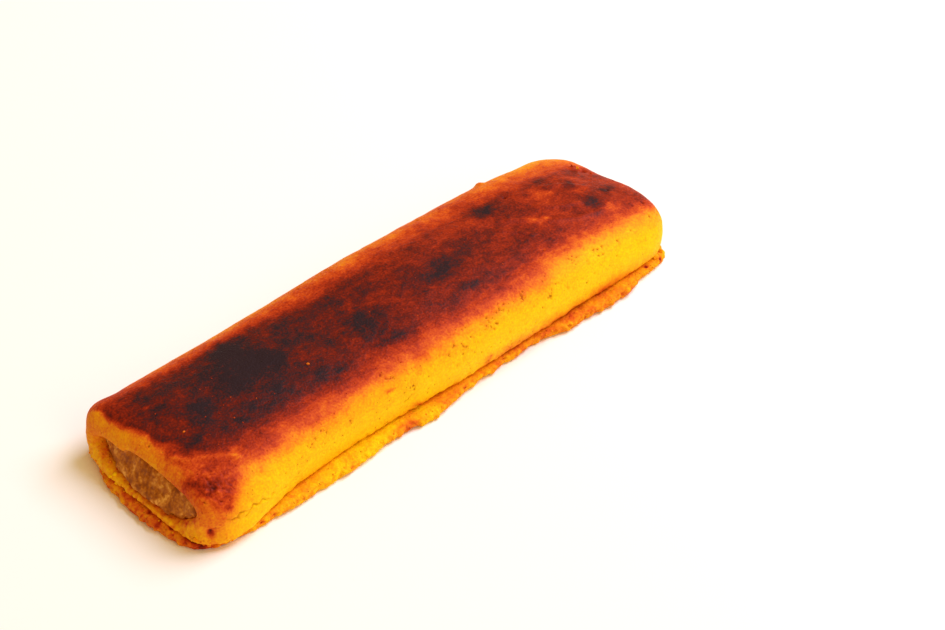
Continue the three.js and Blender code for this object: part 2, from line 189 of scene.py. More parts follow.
# Bulges and, with a minus, chips: X, Y, Z, radius, height
BULGES = [
    (81, -12, 9, 8, 0.9), (77.4, 8.0, 14.4, 0.9, -1.1), (76.2, 10.0, 14.4, 1.1, 0.7),
    (-75.4, 23, 11.6, 4.5, 1.3), (-78.5, 20.9, 6.6, 2.4, 0.7), (51.8, 22.0, 13.8, 1.3, 0.75),
    (61.3, 18, 15.8, 9, -0.7), (78.2, 6, 14.3, 7, -0.8), (79, -13, 14.5, 6, -0.7),
]

# ---- how uneven each surface is: layers of noise, each with its size in mm, height in mm and seed ----

COVER_LUMPS = [(12, 0.2, 1), (4.5, 0.11, 2), (1.7, 0.05, 3)]
LOW_LUMPS = [(2.6, 0.22, 4)]  # and towards the seam
FOOT_CRUMBLE = [(1.1, 0.22, 5)]  # where the thin crust broke at the foot
LIP_CRUMBLE = [(0.9, 0.22, 7)]  # and on the lower lip of the slit
BLISTER_LUMPS = [(1.5, 0.32, 8), (0.8, 0.26, 9)]
TORN_EDGE = [(6, 0.4, 31), (2.4, 0.5, 32)]
BASE_LUMPS = [(1.8, 0.24, 34)]
FILLING_LUMPS = [(3.2, 0.3, 41), (1.3, 0.18, 42), (0.7, 0.08, 43)]

# ---- where one region passes into the next ----

# By distance ahead of the middle: where the region starts, and where it is full
FRONT_FACE = (75.5, 77.5)
LOWER_LIP = (76.5, 78.5)
LIP_SAGS = (74, 77)
FILLING_SHOWS = (70, 75)
# By height: the top of the region, and where it is full
SEAM_ROUGH = (6, 4)
FOOT_CRUST = (5.2, 3.2)
LIP_CRUST = (9, 7)
LIP_FRONT = (8, 6.5)
REAR_FACE_TOP = (13, 9)
FOOT_SPREAD = (6.5, 3.5)
FILLING_FOOT = (9, 5)

# ---- how the soft dough settled ----

SPINE_END = 66  # the foot spreads away from a line along X that ends here
FOOT_OUT = 0.45
FOOT_DOWN = 0.3
# Places where the foot spreads further: X, Y, radius, further out, further down
FOOT_SPREADS = [(-73, -20.5, 9, 1.3, 1.4), (-77, 16, 7, 0.9, 0.4)]
# The lower lip of the slit sags here: Y, half width, height of its middle, half height, drop
LIP_SAG = (-14.5, 4.5, 5.6, 1.7, 1.3)
# Along X, how far the base sticks out past its plain edge on the near side
BASE_OUT = [(-80, -0.8), (-72, -0.7), (-65, 0.4), (-58, 1.4), (-50, 2.3), (-42, 2.3), (-36, 1.3),
            (-22, 0.4), (-17, 0.6), (-11.5, 2.1), (-10, 2.1), (-9, 1.8), (0, 2.3), (8, 1.2), (19, 1.8),
            (27, 0.5), (39, 1.3), (54, 0.4), (62, 1.1), (66, 0.5), (76, 1.4), (79, 1.0), (82, 0.1)]
# Along X, the browning of the base's edges
BASE_BAKE = [(-80, 0.44), (-76, 0.5), (-70, 0.36), (-64, 0.34), (-56, 0.18), (-50, 0.26), (-42, 0.22),
             (-30, 0.14), (-14, 0.16), (-6, 0.34), (4, 0.28), (20, 0.4), (35, 0.36), (50, 0.42),
             (64, 0.32), (82, 0.26)]
UNDERSIDE_BAKE = 0.3  # and of its underside
# Juice baked on to the base: X, Y, half length, half width, how much darker
BASE_SCORCHES = [(-19, -24, 5, 1.3, 0.28), (-41, -26, 2, 1.5, 0.2), (-78.3, -22, 2.5, 2, 0.15)]
SEAM_SHADE_AND_JUICE = 0.13  # and in spots towards the front: partly juice, partly painted shade under the seam
SEAM_SPOTS_REACH = (40, 50)  # by distance ahead of the middle: where they start, and where they are full
BASE_MOTTLE = [(5, 0.14, 36), (2.2, 0.1, 37)]  # layers of noise: size in mm, browning, seed
RIM_Y, RIM_X = (12, 21), (64, 76)  # how far out the underside turns into rim
BASE_SQUASH = 0.42  # how much thinner the base is where the cover's foot presses on it
# The far front corner of the base draws back under the cover: X, Y, radius, by how much
BASE_PULL = (-80, 18, 10, 1.3)
FILLING_SWELL = 0.45  # how far the filling swells into the slit
FILLING_SPILL = 1.0  # how far the bottom of the filling spills out on to the lower lip
FILLING_RECESS = 1.1  # how far it draws back at the far end of the slit

# ---- crumbs ----

# Crumbs and baked-out lumps that stand out: X, Y, Z, radius, browning
CRUMBS = [
    (-32, -4.8, 17.6, 0.4, 0.44), (-67.3, -2.3, 16.7, 0.3, 0.5), (76.9, 9.0, 14.5, 0.5, 0.34),
    (75.9, 10.6, 14.6, 0.45, 0.6), (78.3, 5.6, 14.0, 0.35, 0.66),
    (-80.6, 8.5, 5.1, 0.5, 0.06), (-80.9, 9.4, 3.6, 0.5, 0.08), (-80.8, 7.5, 2.6, 0.55, 0.1),
    (-80.4, 12.7, 2.6, 0.45, 0.2), (-79.2, 11.6, 5.6, 0.4, 0.42), (-79.0, 9.1, 5.2, 0.45, 0.64),
    (-79.5, 3.5, 4.6, 0.5, 0.62), (-79.0, 2.0, 4.8, 0.45, 0.6), (-79.2, -3.2, 4.4, 0.4, 0.6),
    (-78.9, -4.6, 4.6, 0.4, 0.58), (-78.6, -8.3, 4.4, 0.4, 0.58), (-78.4, 13.4, 6.0, 0.45, 0.42),
    (-78.4, -19.6, 3.2, 0.55, 0.34), (-77.0, -21.9, 2.6, 0.5, 0.4), (-77.9, -20.9, 1.2, 0.6, 0.5),
    (74.3, -22.2, 2.6, 0.9, 0.35), (77.3, -21.3, 2.4, 0.8, 0.3), (79.2, -18.6, 3.0, 0.6, 0.25),
]
LOOSE_CRUMBS = 70  # small ones, scattered along the seam all round
CRUMB_SIZES = (0.12, 0.32)  # range of their radius
CRUMB_RING = (81, 25)  # half length and half width of the ring on which they lie
CRUMB_HEIGHTS = (1.5, 3.8)
CRUMB_BAKE = (0.24, 0.5)  # range of their browning
TOP_SPECKS = 60  # and finer ones on the top, most of them towards the front
SPECK_SIZES = (0.1, 0.17)
SPECK_BAKE = (0.6, 0.74)
SPECK_X, SPECK_Y = (-76, -70, 60), (-22, -14, 16)  # least, most usual and greatest
TOP_Z = 19  # they start at this height and sink to the surface


# ---- tools ----

def linear(hex_code):
    """An sRGB hex colour as the linear RGBA that a shader takes."""
    channels = [int(hex_code[i:i + 2], 16) / 255 for i in (0, 2, 4)]
    return [c / 12.92 if c <= 0.04045 else ((c + 0.055) / 1.055) ** 2.4 for c in channels] + [1.0]


def per_mm(size):
    """The texture scale at which one feature of a pattern is about size mm across."""
    return 1 / (size * MM)


def smooth_step(values, low, high):
    t = np.clip((values - low) / (high - low), 0, 1)
    return t * t * (3 - 2 * t)


def bell(distance, width):
    """1 at no distance, falling away smoothly past width."""
    return np.exp(-(distance / width) ** 2)


def read_list(values, pairs):
    places, levels = zip(*pairs)
    return np.interp(values, places, levels)


def lumps(points, size, seed):
    """Soft noise from -1 to 1 at each point, with lumps of about size mm."""
    shift = Vector((17.3 * seed, 5.1 * seed, -9.7 * seed))
    return np.array([noise.noise(Vector(p) + shift) for p in (points / size).tolist()])


def rough(points, layers):
    """Layers of soft noise added up at each point."""
    return sum(height * lumps(points, size, seed) for size, height, seed in layers)


def below(points, top, bottom):
    """0 above the height top, rising smoothly to 1 below the height bottom."""
    return smooth_step(-points[:, 2], -top, -bottom)


def towards_front(points, start, full):
    """0 behind X = -start, rising smoothly to 1 in front of X = -full."""
    return smooth_step(-points[:, 0], start, full)


def patchy(points, size, seed, mean, swing):
    """How strong a thing is that fades in places: its mean, give or take the swing."""
    return mean + swing * lumps(points, size, seed)


def moved_in_x(points, distance):
    """The points, each moved along X by its own distance."""
    return points + np.outer(distance, (1, 0, 0))


def make_active(piece):
    bpy.ops.object.select_all(action="DESELECT")
    piece.select_set(True)
    bpy.context.view_layer.objects.active = piece


def apply_modifier(piece, kind, **settings):
    make_active(piece)
    modifier = piece.modifiers.new(kind.title(), kind)
    for name, value in settings.items():
        setattr(modifier, name, value)
    bpy.ops.object.modifier_apply(modifier=modifier.name)


def read_points(piece):
    values = np.empty(len(piece.data.vertices) * 3)
    piece.data.vertices.foreach_get("co", values)
    return values.reshape(-1, 3) / MM


def read_normals(piece):
    values = np.empty(len(piece.data.vertices) * 3)
    piece.data.vertices.foreach_get("normal", values)
    return values.reshape(-1, 3)


def write_points(piece, points):
    piece.data.vertices.foreach_set("co", (points * MM).ravel())
    piece.data.update()


def write_values(piece, name, values):
    attribute = piece.data.attributes.new(name, "FLOAT", "POINT")
    attribute.data.foreach_set("value", values.astype(np.float32))


def face_places(piece):
    """The centre in mm and the normal of every face."""
    centres = np.empty(len(piece.data.polygons) * 3)
    normals = np.empty(len(piece.data.polygons) * 3)
    piece.data.polygons.foreach_get("center", centres)
    piece.data.polygons.foreach_get("normal", normals)
    return centres.reshape(-1, 3) / MM, normals.reshape(-1, 3)


def edit_faces(piece, chosen, operator, **settings):
    """Runs one edit-mode operator on the chosen faces of a piece."""
    make_active(piece)
    bpy.ops.object.mode_set(mode="EDIT")
    bpy.ops.mesh.select_mode(type="FACE")
    bpy.ops.mesh.select_all(action="DESELECT")
    bpy.ops.object.mode_set(mode="OBJECT")
    piece.data.polygons.foreach_set("select", chosen)
    bpy.ops.object.mode_set(mode="EDIT")
    operator(**settings)
    bpy.ops.object.mode_set(mode="OBJECT")


def copy_of_node(node, name):
    """A copy of a CAD node as a new piece, with its loose triangles merged into one surface."""
    piece = bpy.data.objects.new(name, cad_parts[node].data.copy())
    bpy.context.collection.objects.link(piece)
    piece.data.materials.clear()
    make_active(piece)
    bpy.ops.object.mode_set(mode="EDIT")
    bpy.ops.mesh.select_all(action="SELECT")
    bpy.ops.mesh.remove_doubles(threshold=0.001 * MM)
    bpy.ops.object.mode_set(mode="OBJECT")
    return piece


def soften(piece, voxel, rounds):
    """Melts the facets of a CAD form into one even, smooth skin."""
    apply_modifier(piece, "REMESH", mode="VOXEL", voxel_size=voxel * MM, use_smooth_shade=True)
    apply_modifier(piece, "SMOOTH", factor=0.5, iterations=rounds)


def thin_out(piece, hidden):
    """Leaves only a few faces where little or nothing shows."""
    edit_faces(piece, hidden, bpy.ops.mesh.decimate, ratio=HIDDEN_SHARE)


def refine(piece, chosen):
    """Halves the size of the chosen faces."""
    edit_faces(piece, chosen, bpy.ops.mesh.subdivide, number_cuts=1, smoothness=0.0)


def finish_piece(piece, material, node=None):
    """Smooth shading, the right substance, and its place on the body."""
    make_active(piece)
    bpy.ops.object.shade_smooth()
    piece.data.materials.append(material)
    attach(piece, "root")
    if node:
        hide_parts(node)


# ---- materials ----

def new_material(name):
    material = bpy.data.materials.new(name)
    material.use_nodes = True
    material.node_tree.nodes.clear()
    return material, material.node_tree


def add_node(tree, kind, inputs=None, output=0, **settings):
    """Adds a node and gives back one of its outputs. An input is a value, or a socket to link."""
    node = tree.nodes.new(kind)
    for name, value in settings.items():
        setattr(node, name, value)
    for name, value in (inputs or {}).items():
        if isinstance(value, bpy.types.NodeSocket):
            tree.links.new(value, node.inputs[name])
        else:
            node.inputs[name].default_value = value
    return node.outputs[output] if node.outputs else None


def fill_ramp(ramp, stops):
    while len(ramp.elements) < len(stops):
        ramp.elements.new(0.5)
    for element, (position, hex_code) in zip(ramp.elements, stops):
        element.position = position
        element.color = linear(hex_code)


# Dough colours from raw yellow through golden, orange and red-brown to char
CRUST_STOPS = [
    (0.0, "FFD208"), (0.12, "FAC20A"), (0.24, "F5AC10"), (0.36, "ED9014"), (0.47, "E07018"),
    (0.57, "CE5016"), (0.66, "B43810"), (0.75, "94280E"), (0.83, "741E0E"), (0.89, "5A1A14"),
    (0.95, "431D1E"), (1.0, "2C1D22"),
]
SHADOW_TINT = "A88A3C"  # what the light in a pore or crack is dimmed by
# Colours of the fruit paste, from syrup to pulp
FRUIT_STOPS = [(0.3, "904A10"), (0.46, "AE6014"), (0.58, "C87A24"), (0.72, "ECA84A")]

# Noise that breaks up the browning: size in mm, detail, how far it shifts the browning, and the
# share of that shift on pale dough. The grain of real crumb is near 0.2 mm and would not show, so
# the finest layer is drawn at 0.55 mm.
PATCHES = (7.0, 3.0, 0.18, 0.35)
FLECKS = (1.5, 4.0, 0.13, 0.7)
GRAIN = (0.55, 2.0, 0.15, 1.4)
ROLLED_OUT = (0.7, 1.0, 1.0)  # flecks are drawn out along X, the way that the dough was rolled
# Pin pores: distance between them in mm, share of it at which the pore's floor ends and its rim
# ends, and its shade. Real ones are about 0.2 mm wide and are drawn up to 0.5 mm so that they show.
PIN_PORES = (2.6, 0.04, 0.11, 0.5)
CROWDED_PIN_PORES = (1.5, 0.06, 0.14, 0.6)
CRUST_IOR, CRUST_GLOSS = 1.45, 0.09  # fat and sugar, but the crumbly skin scatters nearly all light
PASTE_IOR, PASTE_GLOSS = 1.4, 0.15  # syrup, dried on the surface


def pin_pores(tree, place, spacing, floor, rim, shade):
    """Tiny holes where steam came out: the shade is full at the middle of each cell of a pattern."""
    cells = add_node(
        tree, "ShaderNodeTexVoronoi", {"Vector": place, "Scale": per_mm(spacing)}, output="Distance")
    return add_node(tree, "ShaderNodeMapRange", {
        "Value": cells, "From Min": floor, "From Max": rim, "To Min": shade, "To Max": 0.0})


def crust_material(name, roughness_pale, roughness_brown, bump):
    """Shortcrust baked in a hot oven: its colour follows the browning attribute, broken up by noise."""
    material, tree = new_material(name)
    place = add_node(tree, "ShaderNodeTexCoord", output="Object")
    bake = add_node(tree, "ShaderNodeAttribute", output="Fac", attribute_name="browning")
    rolled = add_node(tree, "ShaderNodeMapping", {"Vector": place, "Scale": ROLLED_OUT})
    level = bake
    sources = []
    for where, layer in ((place, PATCHES), (rolled, FLECKS), (place, GRAIN)):
        size, detail, shift, share_on_pale = layer
        source = add_node(
            tree, "ShaderNodeTexNoise", {"Vector": where, "Scale": per_mm(size), "Detail": detail})
        swing = add_node(
            tree, "ShaderNodeMapRange", {"Value": source, "To Min": -shift, "To Max": shift})
        strength = add_node(tree, "ShaderNodeMapRange", {
            "Value": bake, "From Min": 0.12, "From Max": 0.5, "To Min": share_on_pale, "To Max": 1.0})
        level = add_node(
            tree, "ShaderNodeMath", {0: swing, 1: strength, 2: level}, operation="MULTIPLY_ADD")
        sources.append(source)
    patches, flecks, grain = sources
    colour = add_node(tree, "ShaderNodeValToRGB", {"Fac": level})
    fill_ramp(colour.node.color_ramp, CRUST_STOPS)
    # Pores and cracks lie in their own shadow, and the finest pores crowd together in patches
    pits = add_node(tree, "ShaderNodeAttribute", output="Fac", attribute_name="pits")
    pore = pin_pores(tree, place, *PIN_PORES)
    crowded = pin_pores(tree, place, *CROWDED_PIN_PORES)
    crowd = add_node(tree, "ShaderNodeMapRange", {"Value": patches, "From Min": 0.5, "From Max": 0.6})
    crowded = add_node(tree, "ShaderNodeMath", {0: crowded, 1: crowd}, operation="MULTIPLY")
    pore = add_node(tree, "ShaderNodeMath", {0: pore, 1: crowded}, operation="MAXIMUM")
    shade = add_node(tree, "ShaderNodeMath", {0: pore, 1: pits}, operation="MAXIMUM")
    colour = add_node(
        tree, "ShaderNodeMix", {0: shade, 6: colour, 7: linear(SHADOW_TINT)}, output=2,
        data_type="RGBA", blend_type="MULTIPLY")
    roughness = add_node(tree, "ShaderNodeMapRange", {
        "Value": level, "From Min": 0.3, "From Max": 0.85,
        "To Min": roughness_pale, "To Max": roughness_brown})
    height = add_node(tree, "ShaderNodeMath", {0: flecks, 1: 1.2, 2: grain}, operation="MULTIPLY_ADD")
    height = add_node(tree, "ShaderNodeMath", {0: pore, 1: -1.0, 2: height}, operation="MULTIPLY_ADD")
    normal = add_node(tree, "ShaderNodeBump", {"Strength": 1.0, "Distance": bump * MM, "Height": height})
    shader = add_node(tree, "ShaderNodeBsdfPrincipled", {
        "Base Color": colour, "Roughness": roughness, "Normal": normal, "IOR": CRUST_IOR,
        "Specular IOR Level": CRUST_GLOSS})
    add_node(tree, "ShaderNodeOutputMaterial", {"Surface": shader})
    return material


def fruit_paste_material():
    """Fruit cooked down to a paste: brown, barely moist, with paler lumps of pulp and fine fibre.

    The eye sees a dim brown mass with soft-edged amber flecks and a weak, broken sheen. The fibres,
    some 0.3 mm thick in the real paste, are drawn at 0.8 mm so that they show.
    """
    material, tree = new_material("cooked_fruit_paste")
    place = add_node(tree, "ShaderNodeTexCoord", output="Object")
    pulp = add_node(tree, "ShaderNodeTexNoise", {"Vector": place, "Scale": per_mm(2.6), "Detail": 3.0})
    fibre = add_node(tree, "ShaderNodeTexNoise", {"Vector": place, "Scale": per_mm(0.8), "Detail": 3.0})
    swing = add_node(tree, "ShaderNodeMapRange", {"Value": fibre, "To Min": -0.3, "To Max": 0.3})
    level = add_node(tree, "ShaderNodeMath", {0: pulp, 1: swing}, operation="ADD")
    colour = add_node(tree, "ShaderNodeValToRGB", {"Fac": level})
    fill_ramp(colour.node.color_ramp, FRUIT_STOPS)
    roughness = add_node(tree, "ShaderNodeMapRange", {
        "Value": fibre, "From Min": 0.3, "From Max": 0.7, "To Min": 0.42, "To Max": 0.65})
    normal = add_node(tree, "ShaderNodeBump", {"Strength": 0.8, "Distance": 0.25 * MM, "Height": fibre})
    shader = add_node(tree, "ShaderNodeBsdfPrincipled", {
        "Base Color": colour, "Roughness": roughness, "Normal": normal, "IOR": PASTE_IOR,
        "Specular IOR Level": PASTE_GLOSS})
    add_node(tree, "ShaderNodeOutputMaterial", {"Surface": shader})
    return material


def paper_material():
    """Matt white seamless backdrop paper, which shows nothing but soft shadows."""
    material, tree = new_material("backdrop_paper")
    shader = add_node(tree, "ShaderNodeBsdfPrincipled", {
        "Base Color": linear("FFFFFF"), "Roughness": 0.9, "Specular IOR Level": 0.1})
    add_node(tree, "ShaderNodeOutputMaterial", {"Surface": shader})
    return material


# ---- shape of the surfaces ----

def girth_of(points):
    """The girth of each point, in degrees."""
    angle = np.degrees(np.arctan2(points[:, 2] - AXIS_Z, -points[:, 1]))
    return np.where(angle < -90, angle + 360, angle)


def around(points, girth, place_x, place_girth):
    """Distance in mm, over the surface, from a place on the cover."""
    radius = np.hypot(points[:, 1], points[:, 2] - AXIS_Z)
    return np.hypot(points[:, 0] - place_x, radius * np.radians(girth - place_girth))


def along(points, girth, run):
    """Distance in mm, over the surface, from a line that runs through places on the cover."""
    radius = np.hypot(points[:, 1], points[:, 2] - AXIS_Z)
    flat = np.stack([points[:, 0], radius * np.radians(girth)], 1)
    nearest = np.full(len(points), 1e9)
    for (x0, g0), (x1, g1) in zip(run, run[1:]):
        start = np.stack([np.full(len(points), x0), radius * math.radians(g0)], 1)
        step = np.stack([np.full(len(points), x1 - x0), radius * math.radians(g1 - g0)], 1)
        share = np.clip(((flat - start) * step).sum(1) / (step ** 2).sum(1), 0, 1)
        nearest = np.minimum(nearest, np.linalg.norm(flat - start - step * share[:, None], axis=1))
    return nearest


def crack_depth(points, girth):
    """How deep each point lies in a hairline crack, from 0 to 1. Cracks waver, and fade in places."""
    radius = np.hypot(points[:, 1], points[:, 2] - AXIS_Z)
    size, reach = CRACK_WAVER
    wavered = moved_in_x(points, reach * lumps(points, size, 55))
    girth = girth + np.degrees(reach * lumps(points, size, 56) / radius)
    depth = np.zeros(len(points))
    for run in CRACKS:
        depth = np.maximum(depth, bell(along(wavered, girth, run), CRACK_WIDTH))
    return depth * np.clip(patchy(points, *CRACK_FADE), 0, 1)


def all_pores():
    """The pores that stand out, and those scattered at random. Each is X, girth, radius."""
    random = np.random.default_rng(11)
    pores = list(PORES)
    for side in (1, -1):
        for _ in range(RANDOM_PORES // 2):
            girth = 90 - side * (90 - random.uniform(*WALL_GIRTHS))
            pores.append((random.triangular(*PORE_X), girth, random.uniform(*SMALL_PORES)))
    for _ in range(BLISTERS):
        x = BLISTER_X + random.normal(0, BLISTER_SPREAD[0])
        place = x, BLISTER_GIRTH + random.normal(0, BLISTER_SPREAD[1])
        pores.append((*place, random.uniform(*BROKEN_BLISTERS)))
    for x, girth, half_x, half_girth, number in PORE_CLUSTERS:
        for _ in range(number):
            place = x + random.normal(0, half_x), girth + random.normal(0, half_girth)
            pores.append((*place, random.uniform(*CROWDED_PORES)))
    return pores


def seam_holes(points):
    """How far each point is sunk by the holes along the seam, in mm."""
    sunk = np.zeros(len(points))
    for x, y, z, radius in SEAM_HOLES:
        sunk = np.maximum(sunk, radius * bell(np.linalg.norm(points - (x, y, z), axis=1), radius))
    return sunk


def pore_pits(points, girth, pores):
    """How far each point is sunk by the pores of the cover, in mm."""
    sunk = np.zeros(len(points))
    size, reach, turn = PORE_RAGGED
    ragged = [reach * lumps(points, size, seed) for seed in (51, 52, 53)]
    girth = girth + turn * lumps(points, size, 54)
    points = points + np.stack(ragged, 1)
    for x, place_girth, radius in pores:
        distance = around(points, girth, x, place_girth)
        sunk = np.maximum(sunk, PORE_DEPTH * radius * bell(distance, radius))
    return sunk


def crumbly(points):
    """How far each point of the cover stands out where the thin crust of foot and lip broke, in mm."""
    foot = below(points, *FOOT_CRUST)
    lip = towards_front(points, *LOWER_LIP) * below(points, *LIP_CRUST)
    return foot * rough(points, FOOT_CRUMBLE) + lip * rough(points, LIP_CRUMBLE)


def blistered(points, girth):
    """How far each point stands out at the blistered corner, in mm."""
    near = bell(around(points, girth, BLISTER_X, BLISTER_GIRTH), BLISTER_REACH)
    return near * rough(points, BLISTER_LUMPS)


def cover_relief(points, girth):
    """How far each point stands out from the smooth form, in mm, without pores and holes."""
    relief = rough(points, COVER_LUMPS) + below(points, *SEAM_ROUGH) * rough(points, LOW_LUMPS)
    relief += crumbly(points) + blistered(points, girth)
    relief -= CRACK_DEPTH * crack_depth(points, girth)
    for run in FOLDS:
        relief += FOLD_HEIGHT * bell(along(points, girth, run), FOLD_WIDTH)
    for x, y, z, radius, height in BULGES:
        relief += height * bell(np.linalg.norm(points - (x, y, z), axis=1), radius)
    return relief


def patch(points, girth, x, place_girth, half_x, half_girth):
    """1 in the middle of an oval patch on the cover, falling to 0 round it."""
    return np.exp(-(((points[:, 0] - x) / half_x) ** 2 + ((girth - place_girth) / half_girth) ** 2))


def cover_bake(points):
    """The browning of each point of the cover, with painted shade in the hollows of its crumbly foot,
    lip and blisters.
    """
    # The four broad gradients meet, and the least browned of them holds
    x = points[:, 0] + rough(points, DRIFT_X)
    girth = girth_of(points) + rough(points, DRIFT_GIRTH)
    near = read_list(girth - read_list(x, NEAR_EDGE), NEAR_PROFILE)
    far = read_list((read_list(x, FAR_EDGE) - girth) * read_list(x, FAR_STEEPNESS), FAR_PROFILE)
    red, dark = read_list(girth, FRONT_RED), read_list(girth, FRONT_DARK)
    front = read_list((x - red) / (dark - red), FRONT_PROFILE)
    bake = np.minimum.reduce([near, far, front, read_list(x, TOP_BAKE)])
    foot = smooth_step(-girth, -FOOT_GIRTH, 0)
    bake = bake * (1 - foot) + read_list(x, FOOT_BAKE) * foot
    face = towards_front(points, *FRONT_FACE)
    bake = bake * (1 - face) + np.maximum(bake, FRONT_PROFILE[0][1]) * face
    rear = smooth_step(x, *REAR_FACE) * below(points, *REAR_FACE_TOP)
    bake = bake * (1 - rear) + np.minimum(bake, REAR_FACE_BAKE) * rear
    # Patches and lines with ragged edges lie over them
    ragged_x, ragged_girth = lumps(points, 2, 27), lumps(points, 2, 28)
    shifted = moved_in_x(points, x - points[:, 0] + SCORCH_RAGGED[0] * ragged_x)
    corner = moved_in_x(points, CORNER_RAGGED[0] * ragged_x)
    corner_girth = girth_of(points) + CORNER_RAGGED[1] * ragged_girth
    girth = girth + SCORCH_RAGGED[1] * ragged_girth
    for place_x, place_girth, half_x, half_girth, darker in SCORCHES:
        bake += darker * patch(shifted, girth, place_x, place_girth, half_x, half_girth)
    for place_x, place_girth, half_x, half_girth, level in CORNER_REDS:
        red = patch(corner, corner_girth, place_x, place_girth, half_x, half_girth)
        bake += np.maximum(level - bake, 0) * np.minimum(1.4 * red, 1)
    for place_x, place_girth, half_x, half_girth, paler in PALE_PATCHES:
        bake -= paler * patch(shifted, girth, place_x, place_girth, half_x, half_girth)
    for run, width, paler in PALE_LINES:
        broken = patchy(points, *LINE_FADE)
        bake -= paler * broken * bell(along(points, girth_of(points), run), width)
    bake -= LIP_PALE * towards_front(points, *LOWER_LIP) * below(points, *LIP_FRONT)
    # Painted shade in the hollows of the crumbly foot, lip and blisters, and paler dough on their lumps
    return bake - RELIEF_SHADE * (crumbly(points) + 0.6 * blistered(points, girth_of(points)))


def settle_cover(points):
    """Spreads the foot of the cover over the base and sags the lower lip of the slit."""
    outward = points * (1, 1, 0)
    outward[:, 0] -= np.clip(points[:, 0], -SPINE_END, SPINE_END)
    outward /= np.linalg.norm(outward, axis=1)[:, None] + 1e-9
    out, down = np.full(len(points), FOOT_OUT), np.full(len(points), FOOT_DOWN)
    for x, y, radius, further_out, further_down in FOOT_SPREADS:
        near = bell(np.hypot(points[:, 0] - x, points[:, 1] - y), radius)
        out += further_out * near
        down += further_down * near
    foot = below(points, *FOOT_SPREAD)
    y, half_width, z, half_height, drop = LIP_SAG
    sag = drop * bell(points[:, 1] - y, half_width) * bell(points[:, 2] - z, half_height)
    sag *= towards_front(points, *LIP_SAGS)
    settled = points + outward * (out * foot)[:, None]
    settled[:, 2] -= down * foot + sag
    return settled


# ---- the cover ----

def cover_inside(centres, normals):
    """Faces that line the hollow under the cover, away from the burst end."""
    from_axis = centres - np.array([0, 0, AXIS_Z])
    from_axis[:, 0] = np.sign(centres[:, 0]) * np.maximum(np.abs(centres[:, 0]) - HOLLOW_END, 0)
    return ((from_axis * normals).sum(1) < 0) & (centres[:, 0] > HOLLOW_FRONT)


def fine_features(centres, girth, pores):
    """Faces at pores, blisters and cracks, which need a finer mesh."""
    fine = around(centres, girth, BLISTER_X, BLISTER_GIRTH) < 1.5 * BLISTER_REACH
    for x, place_girth, radius in pores:
        fine |= around(centres, girth, x, place_girth) < 2 * radius
    for run in CRACKS:
        fine |= along(centres, girth, run) < 5 * CRACK_WIDTH
    return fine


def lower_lip_top(points, normals):
    """1 on the top of the slit's lower lip, where juice bakes on, falling to 0 round it."""
    behind_rim = smooth_step(points[:, 0], -80.2, -79)
    facing_up = smooth_step(normals[:, 2], 0.45, 0.8)
    return towards_front(points, 74, 76) * behind_rim * below(points, 7.5, 6) * facing_up


def make_cover():
    """The top sheet of dough, made from its CAD form by remeshing, then sculpted point by point."""
    cover = copy_of_node("cover", "crust_cover")
    soften(cover, COVER_VOXEL, COVER_ROUNDS)
    thin_out(cover, cover_inside(*face_places(cover)))
    apply_modifier(cover, "SUBSURF", levels=1, render_levels=1)
    centres, normals = face_places(cover)
    torn = (centres[:, 0] < FRONT_X) | (centres[:, 2] < SEAM_TOP)
    refine(cover, torn & ~cover_inside(centres, normals))
    pores = all_pores()
    centres, normals = face_places(cover)
    fine = fine_features(centres, girth_of(centres), pores)
    refine(cover, fine & ~cover_inside(centres, normals))
    points, normals = read_points(cover), read_normals(cover)
    girth = girth_of(points)
    pits = pore_pits(points, girth, pores)
    holes = seam_holes(points)
    cracks = crack_depth(points, girth)
    bake = cover_bake(points)
    bake += LIP_STAIN * lower_lip_top(points, normals) * patchy(points, *LIP_FADE)
    # Pores are painted darker, partly as browning and partly as shade, and holes get painted shade by
    # their depth
    pore_and_hole_darkening = PORE_STAIN_AND_SHADE * smooth_step(pits, 0.05, 0.3) + HOLE_SHADE * holes
    bake += (1 - bake) * np.clip(pore_and_hole_darkening, 0, 1)
    # Painted shade for the shadow in pores and cracks, stored in the pits attribute that the crust
    # material multiplies in
    shade = np.maximum(PORE_SHADE * smooth_step(pits, 0.04, 0.3), CRACK_SHADE * cracks)
    points += normals * (cover_relief(points, girth) - pits - holes)[:, None]
    write_points(cover, settle_cover(points))
    write_values(cover, "browning", bake)
    write_values(cover, "pits", shade)
    return cover


# ---- the base ----

def at_rim(places, x, y):
    """Whether each place is at least x along or y across from the middle."""
    return (np.abs(places[:, 0]) >= x) | (np.abs(places[:, 1]) >= y)


def base_bake(points, fine, holes):
    """The browning of each point of the base: its torn edges, juice, and its plain underside, with
    painted shade in its holes and in the hollows of its edges.
    """
    across, lengthwise = np.abs(points[:, 1]), np.abs(points[:, 0])
    rim = np.maximum(smooth_step(across, *RIM_Y), smooth_step(lengthwise, *RIM_X))
    edge_bake = read_list(points[:, 0] + 2 * lumps(points, 5, 38), BASE_BAKE)
    bake = UNDERSIDE_BAKE * (1 - rim) + rim * edge_bake
    # Painted shade in the seam holes, darker the deeper they go; the mottle is the dough's own
    bake += rough(points, BASE_MOTTLE) + HOLE_SHADE * holes
    for x, y, half_x, half_y, darker in BASE_SCORCHES:
        bake += darker * bell(points[:, 0] - x, half_x) * bell(points[:, 1] - y, half_y)
    # Darker spots on the base towards the front: partly baked-on juice, partly painted shade of the seam
    # above them
    spots = smooth_step(lumps(points, 1.3, 39), 0.1, 0.4)
    bake += SEAM_SHADE_AND_JUICE * towards_front(points, *SEAM_SPOTS_REACH) * spots
    # Painted shade in the hollows of the torn edges, and paler dough on their lumps
    return bake - 0.5 * RELIEF_SHADE * fine


